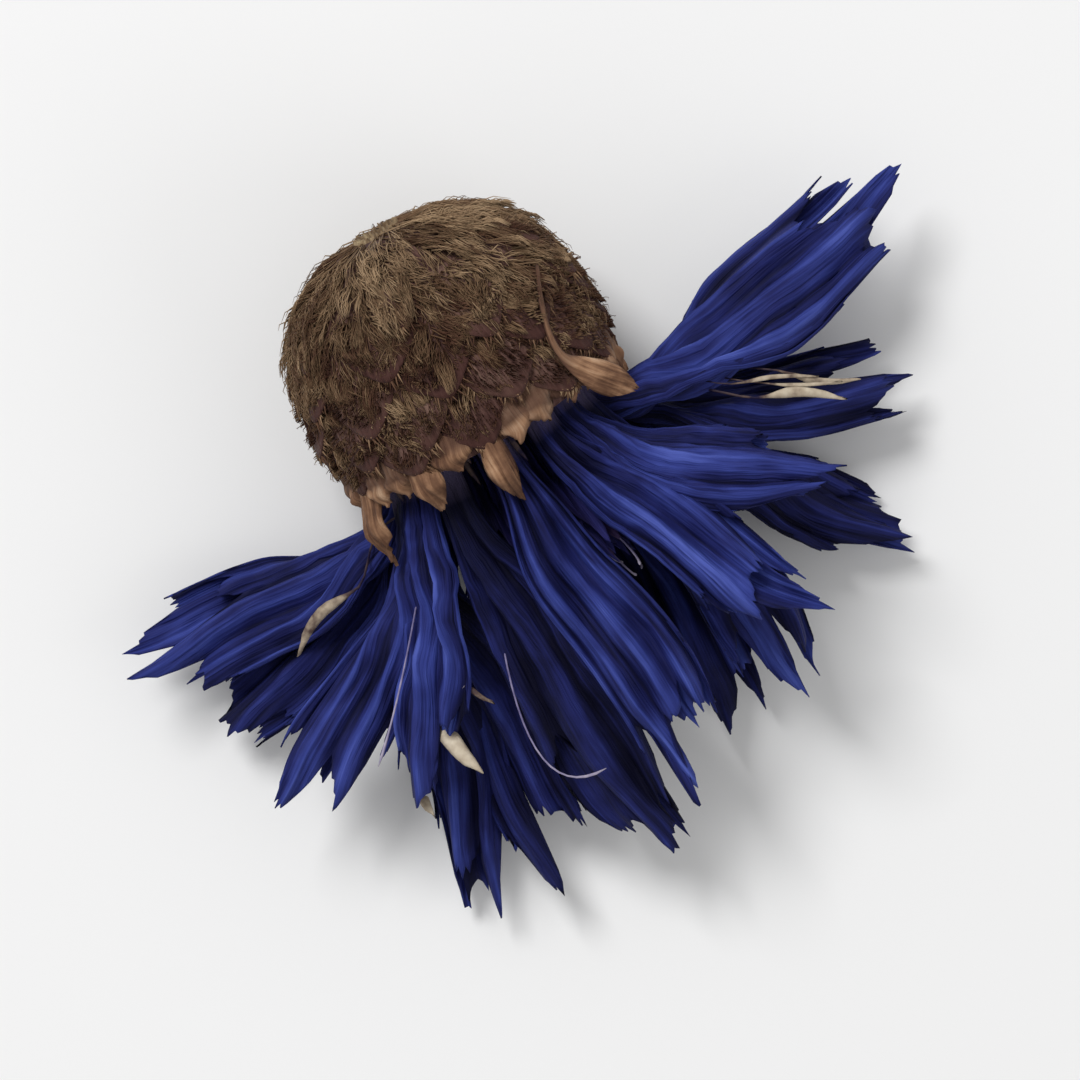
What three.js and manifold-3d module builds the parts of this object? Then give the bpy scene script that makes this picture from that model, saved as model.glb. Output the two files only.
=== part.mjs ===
// A dried cornflower head, lying on its side. Millimetres, +Z up.
// The head is worked out in coordinates of its own: the stem scar at the origin, +Z along the
// axis towards the florets, +Y on the side that faces up when the head lies.

import * as THREE from 'three';
import { mergeVertices } from 'three/addons/utils/BufferGeometryUtils.js';
import Module from 'manifold-3d';

const wasm = await Module();
wasm.setup();

// How the head lies
const axisDrop = THREE.MathUtils.degToRad(10); // slope of the axis, down towards the florets
const bulgeHeight = 4.75; // height over the surface of the involucre's widest section
const planShift = { x: -0.93, y: 5.65 }; // from the middle of the plan to the widest section

// Involucre: the body under the bracts
const bulgeAt = 4.6; // widest section, along the axis
const bulgeRadius = 4.45;
const baseRoundness = 2.3; // power of the base's curve, where 2 is an ellipsoid
const rimAt = 6.6; // rim of the cup
const rimRadius = 4.2;
const cupRadius = 3.7; // inside the cup
const cupFloorAt = 4.4;
const cupFillet = 0.4;
const scarRadius = 0.8; // where the stem broke off
const scarDepth = 0.35;
const bodySides = 30;
const bodySteps = 9;

// Rows of bracts from the stem's end to the rim
const bractRows = [
  { at: 0.3, count: 6, length: 2.1, width: 2.0 },
  { at: 1.1, count: 8, length: 2.6, width: 2.6 },
  { at: 2.2, count: 9, length: 2.8, width: 2.8 },
  { at: 3.4, count: 10, length: 2.9, width: 2.7 },
  { at: 4.7, count: 10, length: 2.4, width: 2.5 },
];
const bractThickness = 0.6;
const bractSink = 0.35; // how deep a bract's root lies under the body's surface
const bractLift = 0.38; // how far its tip stands off the surface
const bractJitter = { turn: 0.3, length: 0.16 }; // as shares of the spacing and of the length
const toothDepth = 0.28; // of a bract's fringe, as a share of its length

// Long inner bracts round the rim, by the angle from the upper side and the reach past the rim
const innerBracts = [
  { around: 0, reach: 1.6, flare: 0.6, width: 1.2 },
  { around: -35, reach: 0.8, flare: 0.5, width: 1.4 },
  { around: -60, reach: 1.4, flare: 0.5, width: 1.4 },
  { around: -80, reach: 2.3, flare: 0.6, width: 1.4 },
  { around: -116, reach: 0.7, flare: 0.5, width: 1.4 },
  { around: -146, reach: 1.1, flare: 0.4, width: 1.4 },
  { around: -176, reach: 1.3, flare: 0.3, width: 1.4 },
  { around: 150, reach: 1.1, flare: 0.4, width: 1.4 },
  { around: 116, reach: 0.7, flare: 0.5, width: 1.4 },
  { around: 84, reach: 1.0, flare: 0.6, width: 1.4 },
  { around: 50, reach: 2.0, flare: 1.3, width: 2.1 },
];
const innerRoot = { below: 1.2, inset: 0.25 }; // start of an inner bract, from the rim's edge
const innerKeel = 0.12; // its middle stands out by this much
const innerNeck = 0.62; // width of its strap, as a share of its tip's width

// Ray florets, by where their tips lie: forward of the widest section, to its side, over the
// surface. Rise is how far a floret runs on past the rim before it turns towards its tip.
const rayFlorets = [
  { forward: 3.0, side: -13.4, height: 2.0, rise: 2.0, width: 3.2, lobes: 4, roll: 0 },
  { forward: 6.2, side: -13.2, height: 1.2, rise: 2.2, width: 2.5, lobes: 3, roll: 10 },
  { forward: 9.8, side: -11.0, height: 3.4, rise: 2.4, width: 2.6, lobes: 3, roll: -15 },
  { forward: 11.6, side: -7.8, height: 4.8, rise: 2.4, width: 2.2, lobes: 3, roll: 10 },
  { forward: 15.6, side: -7.4, height: 1.0, rise: 2.4, width: 2.8, lobes: 4, roll: 5 },
  { forward: 16.0, side: -4.4, height: 1.6, rise: 2.4, width: 2.8, lobes: 4, roll: -8 },
  { forward: 16.0, side: -1.9, height: 3.4, rise: 3.0, width: 2.6, lobes: 3, roll: 8 },
  { forward: 15.4, side: 0.6, height: 5.6, rise: 2.4, width: 2.8, lobes: 4, roll: 12 },
  { forward: 14.2, side: 2.6, height: 1.2, rise: 3.0, width: 2.6, lobes: 3, roll: 0 },
  { forward: 14.6, side: 4.8, height: 2.8, rise: 2.4, width: 2.6, lobes: 3, roll: -10 },
  { forward: 12.6, side: 6.4, height: 7.0, rise: 2.4, width: 2.6, lobes: 3, roll: 5 },
  { forward: 8.4, side: 9.0, height: 6.4, rise: 2.2, width: 2.7, lobes: 3, roll: -8 },
  { forward: 1.4, side: 14.8, height: 2.8, rise: 1.9, width: 3.4, lobes: 4, roll: 0 },
  { forward: 7.2, side: 13.4, height: 1.4, rise: 2.0, width: 2.6, lobes: 3, roll: 10 },
  { forward: 12.4, side: 10.8, height: 0.6, rise: 2.2, width: 2.6, lobes: 3, roll: 0 },
  { forward: 5.6, side: -10.4, height: 0.0, rise: 2.0, width: 2.6, lobes: 3, roll: 0 },
  { forward: 13.0, side: 1.4, height: 0.0, rise: 2.2, width: 2.6, lobes: 3, roll: 0 },
  { forward: 5.4, side: 10.6, height: 0.0, rise: 2.0, width: 2.6, lobes: 3, roll: 0 },
];
const rayRootAt = 5.0; // start of a ray floret, along the axis
const rayExitAt = 7.2; // where it leaves the rim
const rayRing = 3.05; // radius of the ring that the ray florets stand on
const rayEven = 0.6; // how far their roots move from their tips' angles to even places on the ring
const rayThickness = 0.6;
const rayRows = 7;
const tubeWidth = 1.05; // of a ray floret where it leaves the rim
const fullWidthAt = 0.72; // these four are shares of its length: where it is widest,
const cleftAt = 0.78; // where its lobes part,
const cleftJitter = 0.06; // how unevenly they part,
const lobeJitter = 0.1; // and how unevenly they end
const pleatDepth = 0.07; // depth of its pleats and of its trough, as shares of its width
const troughDepth = 0.16;
const ringWall = { inner: 2.15, outer: 3.35, from: 4.75, to: 6.3, sides: 24 };

// Disc florets
const discCount = 15;
const discSpread = { root: 1.7, tip: 1.8 }; // radius of the circle that they stand in
const discLength = { least: 4.0, jitter: 1.6, rimLoss: 0.8 }; // past the core
const discCore = { foot: 1.8, crown: 2.1, from: 4.75, neck: 6.4, top: 7.7, sides: 14 };
const discTube = 0.4; // radius of a floret's tube
const discMouth = 0.6; // radius where its lobes part
const discLobeReach = 1.02; // how far its lobes' tips stand from its middle
const styleLength = 0.9; // of the style past the lobes
const discSides = 5;

const colours = {
  involucre: 0x7d664b,
  ray_florets: 0x2f3f96,
  disc_florets: 0x1c1c4c,
};

// The head's own directions, and those of the surface seen from the head

const axis = new THREE.Vector3(0, 0, 1);
const up = new THREE.Vector3(0, Math.cos(axisDrop), -Math.sin(axisDrop));
const ahead = new THREE.Vector3(0, Math.sin(axisDrop), Math.cos(axisDrop));
const bulge = new THREE.Vector3(0, 0, bulgeAt);

function outward(angle) {
  return new THREE.Vector3(Math.sin(angle), Math.cos(angle), 0);
}

function heightOf(point) {
  return bulgeHeight + point.clone().sub(bulge).dot(up);
}

// Presses a point that would lie under the surface flat against it
function resting(point) {
  return point.addScaledVector(up, Math.max(0, -heightOf(point)));
}

// A number from 0 to 1 that is always the same for the same two whole numbers
function scatter(i, k) {
  const wave = Math.sin(i * 12.9898 + k * 78.233) * 43758.5453;
  return wave - Math.floor(wave);
}

function smooth(from, to, value) {
  return THREE.MathUtils.smoothstep(value, from, to);
}

// Closed solids, and joining them

function geometryOf(points, faces) {
  const geometry = new THREE.BufferGeometry();
  geometry.setAttribute('position', new THREE.Float32BufferAttribute(points.flatMap((p) => p.toArray()), 3));
  geometry.setIndex(faces.flat());
  return geometry;
}

// A sheet of even thickness, with both its faces split into the same triangles: place(i, j) gives
// the middle of the sheet and the way its thickness runs
function sheet(columns, rows, thickness, place) {
  const faceUp = [];
  const faceDown = [];
  for (let j = 0; j <= rows; j += 1) {
    for (let i = 0; i <= columns; i += 1) {
      const { middle, across } = place(i, j);
      faceUp.push(resting(middle.clone().addScaledVector(across, thickness / 2)));
      faceDown.push(resting(middle.clone().addScaledVector(across, -thickness / 2)));
    }
  }
  const wide = columns + 1;
  const below = faceUp.length;
  const faces = [];
  for (let j = 0; j < rows; j += 1) {
    for (let i = 0; i < columns; i += 1) {
      const a = j * wide + i;
      const [b, c, d] = [a + 1, a + wide + 1, a + wide];
      const halves = (i + j) % 2 === 0 ? [[a, b, c], [a, c, d]] : [[a, b, d], [b, c, d]];
      for (const [p, q, r] of halves) {
        faces.push([p, q, r], [below + p, below + r, below + q]);
      }
    }
  }
  const edge = [];
  for (let i = 0; i < columns; i += 1) edge.push(i);
  for (let j = 0; j < rows; j += 1) edge.push(j * wide + columns);
  for (let i = columns; i > 0; i -= 1) edge.push(rows * wide + i);
  for (let j = rows; j > 0; j -= 1) edge.push(j * wide);
  edge.forEach((p, k) => {
    const q = edge[(k + 1) % edge.length];
    faces.push([p, below + p, q], [q, below + p, below + q]);
  });
  return geometryOf([...faceUp, ...faceDown], faces);
}

// A solid turned round the axis from [radius, along the axis] points
function turned(profile, sides) {
  const lathe = new THREE.LatheGeometry(profile.map(([r, z]) => new THREE.Vector2(r, z)), sides);
  return lathe.rotateX(Math.PI / 2);
}

// The solid of a closed mesh, with its faces turned out if they point in
function solidOf(geometry) {
  const bare = geometry.clone();
  bare.deleteAttribute('normal');
  bare.deleteAttribute('uv');
  const merged = mergeVertices(bare, 1e-5);
  const corners = Uint32Array.from(merged.index.array);
  const fromCorners = () => new wasm.Manifold(new wasm.Mesh({
    numProp: 3,
    vertProperties: Float32Array.from(merged.attributes.position.array),
    triVerts: corners,
  }));
  const solid = fromCorners();
  return solid.volume() < 0 ? (corners.reverse(), fromCorners()) : solid;
}

// Joins solids into one body: loose scraps are dropped and sealed hollows filled
function fuse(geometries) {
  const joined = geometries.map(solidOf).reduce((body, piece) => body.add(piece));
  return joined.decompose().reduce((largest, body) => (body.volume() > largest.volume() ? body : largest));
}

function meshOf(name, solid) {
  const { vertProperties, triVerts } = solid.getMesh();
  const geometry = new THREE.BufferGeometry();
  geometry.setAttribute('position', new THREE.Float32BufferAttribute(vertProperties, 3));
  geometry.setIndex(Array.from(triVerts));
  geometry.computeVertexNormals();
  const material = new THREE.MeshStandardMaterial({ color: colours[name], roughness: 0.85, metalness: 0 });
  const mesh = new THREE.Mesh(geometry, material);
  mesh.name = name;
  return mesh;
}

// Involucre

// Radius of the body: a rounded base up to the widest section, then narrowing a little to the rim
function bodyRadius(z) {
  if (z <= bulgeAt) {
    return bulgeRadius * Math.sqrt(1 - ((bulgeAt - z) / bulgeAt) ** baseRoundness);
  }
  return bulgeRadius - (bulgeRadius - rimRadius) * ((z - bulgeAt) / (rimAt - bulgeAt)) ** 2;
}

function involucreBody() {
  const baseStep = 0.18;
  const profile = [[0, scarDepth], [scarRadius * 0.8, scarDepth], [scarRadius, scarDepth / 3]];
  for (let k = 1; k <= bodySteps; k += 1) {
    const z = baseStep + (rimAt - baseStep) * (k / bodySteps) ** 1.35;
    profile.push([bodyRadius(z), z]);
  }
  profile.push([cupRadius, rimAt], [cupRadius, cupFloorAt + cupFillet]);
  profile.push([cupRadius - cupFillet, cupFloorAt], [0, cupFloorAt]);
  return turned(profile, bodySides);
}

// The way out of the body's surface at a height along the axis
function slopeOut(away, z) {
  const step = 0.2;
  const at = THREE.MathUtils.clamp(z, 2 * step, rimAt);
  const slope = (bodyRadius(at + step) - bodyRadius(at - step)) / (2 * step);
  return away.clone().addScaledVector(axis, -slope).normalize();
}

// A bract follows the body from its sunken root, lifts a little, and ends in a fringe of three teeth
function bract(row, rowIndex, index) {
  const columns = 4;
  const rows = 2;
  const stagger = 0.5 * (rowIndex % 2);
  const jitter = bractJitter.turn * (scatter(index, rowIndex) - 0.5);
  const angle = (2 * Math.PI * (index + stagger + jitter)) / row.count;
  const length = row.length * (1 + bractJitter.length * (scatter(index + 40, rowIndex) - 0.5));
  return sheet(columns, rows, bractThickness, (i, j) => {
    const x = (2 * i) / columns - 1;
    const end = i % 2 === 0 ? 1 - (toothDepth / 3) * Math.abs(x) : 1 - toothDepth;
    const s = (j / rows) * end;
    const z = row.at + length * s;
    const halfWidth = (row.width / 2) * (0.75 + 0.9 * s - 1.1 * s * s);
    const radius = bodyRadius(z) - bractSink + (bractSink + bractLift) * s;
    const away = outward(angle + (x * halfWidth) / radius);
    return { middle: away.clone().multiplyScalar(radius).setZ(z), across: slopeOut(away, z) };
  });
}

// A long inner bract rises from the rim on a narrow strap and ends in a broad round tip
function innerBract({ around, reach, flare, width }) {
  const columns = 2;
  const rows = 5;
  const angle = THREE.MathUtils.degToRad(around);
  const from = rimAt - innerRoot.below;
  const length = reach + innerRoot.below;
  return sheet(columns, rows, bractThickness, (i, j) => {
    const x = i - 1;
    const s = j / rows;
    const keel = innerKeel * (1 - Math.abs(x));
    const radius = rimRadius - innerRoot.inset + flare * smooth(0.25, 1, s) + keel;
    const swell = innerNeck + (1 - innerNeck) * smooth(0.45, 0.75, s);
    const rounding = 1 - 0.6 * smooth(0.8, 1, s);
    const away = outward(angle + (x * width * swell * rounding) / (2 * radius));
    return {
      middle: away.clone().multiplyScalar(radius).setZ(from + length * s),
      across: away.clone().addScaledVector(axis, -flare / length).normalize(),
    };
  });
}

function involucre() {
  const bracts = bractRows.flatMap((row, rowIndex) => (
    Array.from({ length: row.count }, (_, index) => bract(row, rowIndex, index))));
  return fuse([involucreBody(), ...bracts, ...innerBracts.map(innerBract)]);
}

// Ray florets

function tipOf(floret) {
  return bulge.clone()
    .addScaledVector(ahead, floret.forward)
    .addScaledVector(up, floret.height + rayThickness / 2 - bulgeHeight)
    .setX(floret.side);
}

function tipAngle(floret) {
  const tip = tipOf(floret);
  return Math.atan2(tip.x, tip.y);
}

// Where a ray floret stands on the ring: between its tip's own angle and its even place in the order
function rayAngle(floret) {
  const rank = rayFlorets.filter((other) => tipAngle(other) < tipAngle(floret)).length;
  const even = (2 * Math.PI * (rank + 0.5)) / rayFlorets.length - Math.PI;
  return THREE.MathUtils.lerp(tipAngle(floret), even, rayEven);
}

// The middle line of a ray floret: straight up from the ring to the rim, then one cubic curve to
// the tip, which leaves along the axis and ends more level than it ran
function rayLine(floret) {
  const tip = tipOf(floret);
  const angle = rayAngle(floret);
  const away = outward(angle);
  const root = away.clone().multiplyScalar(rayRing).setZ(rayRootAt);
  const exit = root.clone().setZ(rayExitAt);
  const reach = tip.distanceTo(exit);
  const leave = exit.clone().addScaledVector(axis, floret.rise).addScaledVector(away, floret.rise / 4);
  const arrive = tip.clone().sub(leave);
  arrive.addScaledVector(up, -0.6 * arrive.dot(up)).normalize();
  const approach = tip.clone().addScaledVector(arrive, -0.4 * reach);
  const curve = new THREE.CubicBezierCurve3(exit, leave, approach, tip);
  const rootShare = (rayExitAt - rayRootAt) / (rayExitAt - rayRootAt + reach);
  const at = (s) => (s < rootShare
    ? root.clone().lerp(exit, s / rootShare)
    : curve.getPoint((s - rootShare) / (1 - rootShare)));
  return { at, angle, rootShare };
}

// Frame on the line: the floret's back faces outward at the rim, and turns to lie flat further out
function rayFrame(line, s, roll) {
  const step = 0.01;
  const along = line.at(Math.min(s + step, 1)).sub(line.at(Math.max(s - step, 0))).normalize();
  const away = outward(line.angle);
  const back = away.clone().multiplyScalar(along.dot(axis)).addScaledVector(axis, -along.dot(away));
  const flat = up.clone().multiplyScalar(back.dot(up) < -0.2 ? -1 : 1);
  back.lerp(flat, 0.75 * smooth(0.3, 0.8, s));
  back.addScaledVector(along, -back.dot(along)).normalize();
  back.applyAxisAngle(along, THREE.MathUtils.degToRad(roll) * smooth(0.2, 1, s));
  return { back, sideways: along.cross(back) };
}

// A ray floret is a narrow strap that widens, pleated once for each lobe and hollow underneath,
// and its far edge runs out to the lobes' tips and back to the clefts between them
function rayFloret(floret, index) {
  const line = rayLine(floret);
  const columns = 2 * floret.lobes;
  return sheet(columns, rayRows, rayThickness, (i, j) => {
    const x = (2 * i) / columns - 1;
    const lobeTip = 1 - lobeJitter * scatter(i, index) * Math.abs(x);
    const cleft = cleftAt + cleftJitter * scatter(i, index + 50) + (Math.abs(x) === 1 ? 0.08 : 0);
    const s = (j / rayRows) * (i % 2 === 1 ? lobeTip : cleft);
    const { back, sideways } = rayFrame(line, s, floret.roll);
    const width = tubeWidth + (floret.width - tubeWidth) * smooth(line.rootShare, fullWidthAt, s);
    const pleat = pleatDepth * Math.cos(Math.PI * floret.lobes * (x + 1)) * smooth(0.3, 0.6, s);
    const middle = line.at(s)
      .addScaledVector(sideways, (x * width) / 2)
      .addScaledVector(back, -width * (pleat + troughDepth * x * x));
    const lift = Math.max(0, rayThickness / 2 - heightOf(middle));
    return { middle: middle.addScaledVector(up, lift), across: back };
  });
}

function rays() {
  const { inner, outer, from, to, sides } = ringWall;
  const ring = turned([[inner, from], [outer, from], [outer, to], [inner, to], [inner, from]], sides);
  return fuse([ring, ...rayFlorets.map(rayFloret)]);
}

// Disc florets

// A disc floret is a five-sided tube that swells to a mouth with five pointed lobes, and the
// style's tip stands in its middle. The roots follow the golden angle, as seeds in a head do.
function discFloret(index) {
  const turn = index * Math.PI * (3 - Math.sqrt(5));
  const share = Math.sqrt((index + 0.5) / discCount);
  const length = discLength.least + discLength.jitter * scatter(index, 7) - discLength.rimLoss * share;
  const spot = (spread, z) => outward(turn).multiplyScalar(spread * share).setZ(z);
  const curve = new THREE.QuadraticBezierCurve3(
    spot(discSpread.root, discCore.neck),
    spot(discSpread.root, discCore.top + 0.45 * length),
    spot(discSpread.tip, discCore.top + length),
  );
  const ring = (s, radius, turnBy) => {
    const along = curve.getTangent(s);
    const first = along.clone().cross(outward(0)).normalize();
    const second = along.clone().cross(first);
    return Array.from({ length: discSides }, (_, k) => {
      const angle = ((k + turnBy) / discSides) * 2 * Math.PI;
      return curve.getPoint(s)
        .addScaledVector(first, radius * Math.cos(angle))
        .addScaledVector(second, radius * Math.sin(angle));
    });
  };
  const points = [
    ...ring(0, discTube, 0),
    ...ring(0.6, discTube, 0),
    ...ring(0.86, discMouth, 0),
    ...ring(1, discLobeReach, 0.5),
    curve.getPoint(1).addScaledVector(curve.getTangent(1), styleLength),
    curve.getPoint(0),
  ];
  const mouth = 2 * discSides;
  const lobes = 3 * discSides;
  const style = 4 * discSides;
  const foot = style + 1;
  const faces = [];
  for (let k = 0; k < discSides; k += 1) {
    const next = (k + 1) % discSides;
    for (let a = 0; a < mouth; a += discSides) {
      const wall = [a + k, a + next, a + next + discSides, a + k + discSides];
      faces.push([wall[0], wall[1], wall[2]], [wall[0], wall[2], wall[3]]);
    }
    faces.push([mouth + k, mouth + next, lobes + k]);
    faces.push([mouth + next, style, lobes + k], [mouth + k, lobes + k, style]);
    faces.push([next, k, foot]);
  }
  return geometryOf(points, faces);
}

function discs() {
  const { foot, crown, from, neck, top, sides } = discCore;
  const dome = [[foot, neck], [crown, neck + 0.3], [0.8 * crown, top - 0.2], [0, top]];
  const core = turned([[0, from], [foot, from], ...dome], sides);
  return fuse([core, ...Array.from({ length: discCount }, (_, index) => discFloret(index))]);
}

// The head, tilted and laid down

const head = new THREE.Group();
head.add(meshOf('involucre', involucre()));
head.add(meshOf('ray_florets', rays()));
head.add(meshOf('disc_florets', discs()));
head.rotation.x = Math.PI / 2 + axisDrop;
const turnedBulge = bulge.clone().applyEuler(head.rotation);
head.position.set(planShift.x, planShift.y, bulgeHeight).sub(turnedBulge);

const flower = new THREE.Group();
flower.add(head);

export default flower;
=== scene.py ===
import math

import bpy
import numpy as np
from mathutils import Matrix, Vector


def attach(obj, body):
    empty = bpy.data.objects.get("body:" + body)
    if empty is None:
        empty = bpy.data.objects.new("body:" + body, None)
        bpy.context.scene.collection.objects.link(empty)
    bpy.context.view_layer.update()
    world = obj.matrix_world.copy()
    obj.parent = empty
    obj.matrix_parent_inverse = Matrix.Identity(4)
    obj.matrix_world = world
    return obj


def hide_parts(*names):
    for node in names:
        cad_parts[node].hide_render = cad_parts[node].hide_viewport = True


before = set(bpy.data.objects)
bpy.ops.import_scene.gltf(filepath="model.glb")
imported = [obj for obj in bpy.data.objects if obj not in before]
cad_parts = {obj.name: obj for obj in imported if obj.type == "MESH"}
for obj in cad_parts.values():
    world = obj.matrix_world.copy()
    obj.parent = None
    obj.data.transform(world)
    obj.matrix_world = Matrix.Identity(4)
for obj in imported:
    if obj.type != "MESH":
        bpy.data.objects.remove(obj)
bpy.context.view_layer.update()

# Everything is worked out in the head's own coordinates, in millimetres: the stem scar at the
# origin, z along the axis towards the florets, y on the side that faces up when the head lies.
lie = {
    "axisDrop": 10.0,  # degrees that the axis slopes down towards the florets
    "bulgeHeight": 4.75,  # of the involucre's widest section over the surface
    "bulgeAt": 4.6,  # where along the axis that section is
    "shift": (-0.93, 5.65),  # of that section from the middle of the plan
    "least": 0.03,  # height that low points are eased up to
    "softness": 0.003,  # of that easing, in square millimetres
}
drop = math.radians(lie["axisDrop"])
axis = np.array([0.0, 0.0, 1.0])
up = np.array([0.0, math.cos(drop), -math.sin(drop)])
ahead = np.array([0.0, math.sin(drop), math.cos(drop)])
bulge = lie["bulgeAt"] * axis


def layDown(points, least):
    # head coordinates to the row's frame in metres: x stays, forward turns to -y, up to z;
    # heights near zero are eased up to the surface by a smooth maximum
    forward = (points - bulge) @ ahead
    height = lie["bulgeHeight"] + (points - bulge) @ up - least
    eased = least + 0.5 * (height + np.sqrt(height ** 2 + lie["softness"]))
    return np.stack([points[..., 0] + lie["shift"][0], lie["shift"][1] - forward, eased], -1) / 1000


def spotAt(forward, side, height):
    # head coordinates of points given forward of the widest section, to its side, and by height
    rise = np.subtract(height, lie["bulgeHeight"])
    spot = bulge + np.multiply.outer(forward, ahead) + np.multiply.outer(rise, up)
    spot[..., 0] = side
    return spot


def scatter(i, k):
    # a number from 0 to 1 for two whole numbers: the broken part of a large sine
    wave = np.sin(i * 12.9898 + k * 78.233) * 43758.5453
    return wave - np.floor(wave)


def either(i, k):
    # a scattered number from -1 to 1
    return 2 * scatter(i, k) - 1


def smooth(start, end, value):
    # 0 before start, 1 after end, and 3t^2 - 2t^3 between
    t = np.clip((value - start) / (end - start), 0, 1)
    return t * t * (3 - 2 * t)


def drift(a, b, seed, pitch=1.0):
    # slow wandering from -1 to 1 over two parameters: the mean of sines of seeded pitch and phase
    sines = 5
    total = 0
    for k in range(sines):
        pitchA = pitch * (0.5 + 1.5 * scatter(seed, k))
        pitchB = pitch * (1.6 * scatter(seed, k + 11) - 0.8)
        total = total + np.sin(2 * np.pi * (pitchA * a + pitchB * b + scatter(seed, k + 23)))
    return total / sines


def unit(vectors):
    return vectors / np.maximum(np.linalg.norm(vectors, axis=-1, keepdims=True), 1e-9)


def outward(angle):
    # straight out from the axis at an angle from the upper side: (sine, cosine, 0)
    return np.stack([np.sin(angle), np.cos(angle), 0 * angle], -1)


def roundTurn(count):
    # angles at even steps round a full turn
    return 2 * np.pi * np.arange(count) / count


def smoothLine(knots, v):
    # a Catmull-Rom spline through the knots (count, n) at v from 0 to 1
    ends = np.concatenate([[2 * knots[0] - knots[1]], knots, [2 * knots[-1] - knots[-2]]])
    spot = np.clip(v, 0, 1) * (len(knots) - 1)
    k = np.minimum(spot.astype(int), len(knots) - 2)
    t = (spot - k)[..., None]
    a, b, c, d = ends[k], ends[k + 1], ends[k + 2], ends[k + 3]
    return b + 0.5 * t * (c - a + t * (2 * a - 5 * b + 4 * c - d + t * (3 * (b - c) + d - a)))


def sheetGrid(columns, rows):
    # x across sheets from -1 to 1, and v along them from 0 to 1
    return np.linspace(-1, 1, columns)[None, None, :], np.linspace(0, 1, rows)[None, :, None]


def surfaceUv(across, along):
    # pattern coordinates in centimetres over the surface
    return np.stack(np.broadcast_arrays(across, along), -1) / 10


def roundUv(sides, girth, along):
    # pattern coordinates of a closed grid, once round its girth
    return surfaceUv((np.arange(sides + 1) / sides * girth)[None, :], along)


def closeRound(values):
    # a closed grid's values with its first column again at the end
    return np.concatenate([values, values[:, :1]], 1)


def gridMesh(name, points, inner, uv, values, closed=False, caps=False, least=lie["least"]):
    # Grids of points (count, rows, columns) joined by quads. A closed grid joins its last column
    # to its first, caps shut its two ends, and the faces are turned away from the inner points.
    count, rows, columns = points.shape[:3]
    index = np.arange(count * rows * columns).reshape(count, rows, columns)
    here, beside = (index, np.roll(index, -1, axis=2)) if closed else (index[:, :, :-1], index[:, :, 1:])
    quads = np.stack([here[:, :-1], beside[:, :-1], beside[:, 1:], here[:, 1:]], -1).reshape(-1, 4)
    corners = np.stack([uv[:, :-1, :-1], uv[:, :-1, 1:], uv[:, 1:, 1:], uv[:, 1:, :-1]], -2).reshape(-1, 4, 2)
    place = layDown(points, least).reshape(-1, 3)
    centre = layDown(np.broadcast_to(inner, points.shape), least).reshape(-1, 3)
    face = place[quads]
    normal = np.cross(face[:, 2] - face[:, 0], face[:, 3] - face[:, 1])
    turned = np.sum(normal * (face.mean(1) - centre[quads].mean(1))) < 0
    if turned:
        quads, corners = quads[:, ::-1], corners[:, ::-1]
    loops, starts, loopUv = [quads.ravel()], [4 * np.arange(len(quads))], [corners.reshape(-1, 2)]
    if caps:
        for k, ring in enumerate((index[:, 0, ::-1], index[:, -1])):
            ring = ring[:, ::-1] if turned else ring
            begin = sum(len(part) for part in loops)
            starts.append(begin + columns * np.arange(count))
            loops.append(ring.ravel())
            loopUv.append(np.repeat(uv[:, -k, 0], columns, axis=0))
    loops, starts, loopUv = np.concatenate(loops), np.concatenate(starts), np.concatenate(loopUv)
    mesh = bpy.data.meshes.new(name)
    mesh.vertices.add(len(place))
    mesh.vertices.foreach_set("co", place.ravel())
    mesh.loops.add(len(loops))
    mesh.loops.foreach_set("vertex_index", loops.astype(np.int32))
    mesh.polygons.add(len(starts))
    mesh.polygons.foreach_set("loop_start", starts.astype(np.int32))
    mesh.update(calc_edges=True)
    mesh.polygons.foreach_set("use_smooth", np.ones(len(starts), bool))
    layer = mesh.uv_layers.new(name="surface")
    layer.data.foreach_set("uv", loopUv.astype(np.float32).ravel())
    for key, value in values.items():
        spread = np.broadcast_to(value, points.shape[:3]).astype(np.float32)
        mesh.attributes.new(key, "FLOAT", "POINT").data.foreach_set("value", spread.ravel())
    piece = bpy.data.objects.new(name, mesh)
    bpy.context.scene.collection.objects.link(piece)
    return piece


def hairMesh(name, path, radius, sides=3, tone=0.0):
    # Hairs: tapered spines of a few sides round paths (count, steps, 3), with the radius at each
    # step. A ring's corners stand at even angles round the path's own direction.
    count, steps = path.shape[:2]
    along = unit(np.gradient(path, axis=1))
    slant = np.array([0.31, 0.55, 0.77])  # a direction that hardly any hair runs in
    side = unit(np.cross(along, slant))
    other = np.cross(along, side)
    angle = roundTurn(sides)[:, None]
    ring = side[:, :, None] * np.cos(angle) + other[:, :, None] * np.sin(angle)
    points = path[:, :, None] + ring * np.broadcast_to(radius, (count, steps))[:, :, None, None]
    share = np.linspace(0, 1, steps)[None, :, None]
    uv = surfaceUv(np.zeros((count, steps, sides + 1)), share)
    values = {"along": share, "tone": np.reshape(tone, (-1, 1, 1))}
    return gridMesh(name, points, path[:, :, None], uv, values, closed=True, caps=True)


def finishPiece(piece, material, replaced=None, wall=0.0):
    # rides on the head, takes its finish, and gets an even wall in millimetres where it is a sheet
    piece.data.materials.append(material)
    if wall:
        thick = piece.modifiers.new("wall", "SOLIDIFY")
        thick.thickness = wall / 1000
        thick.offset = 0
    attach(piece, "root")
    if replaced:
        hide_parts(replaced)


# Finishes: their colours are stops of (place, (red, green, blue)), in linear light

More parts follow.
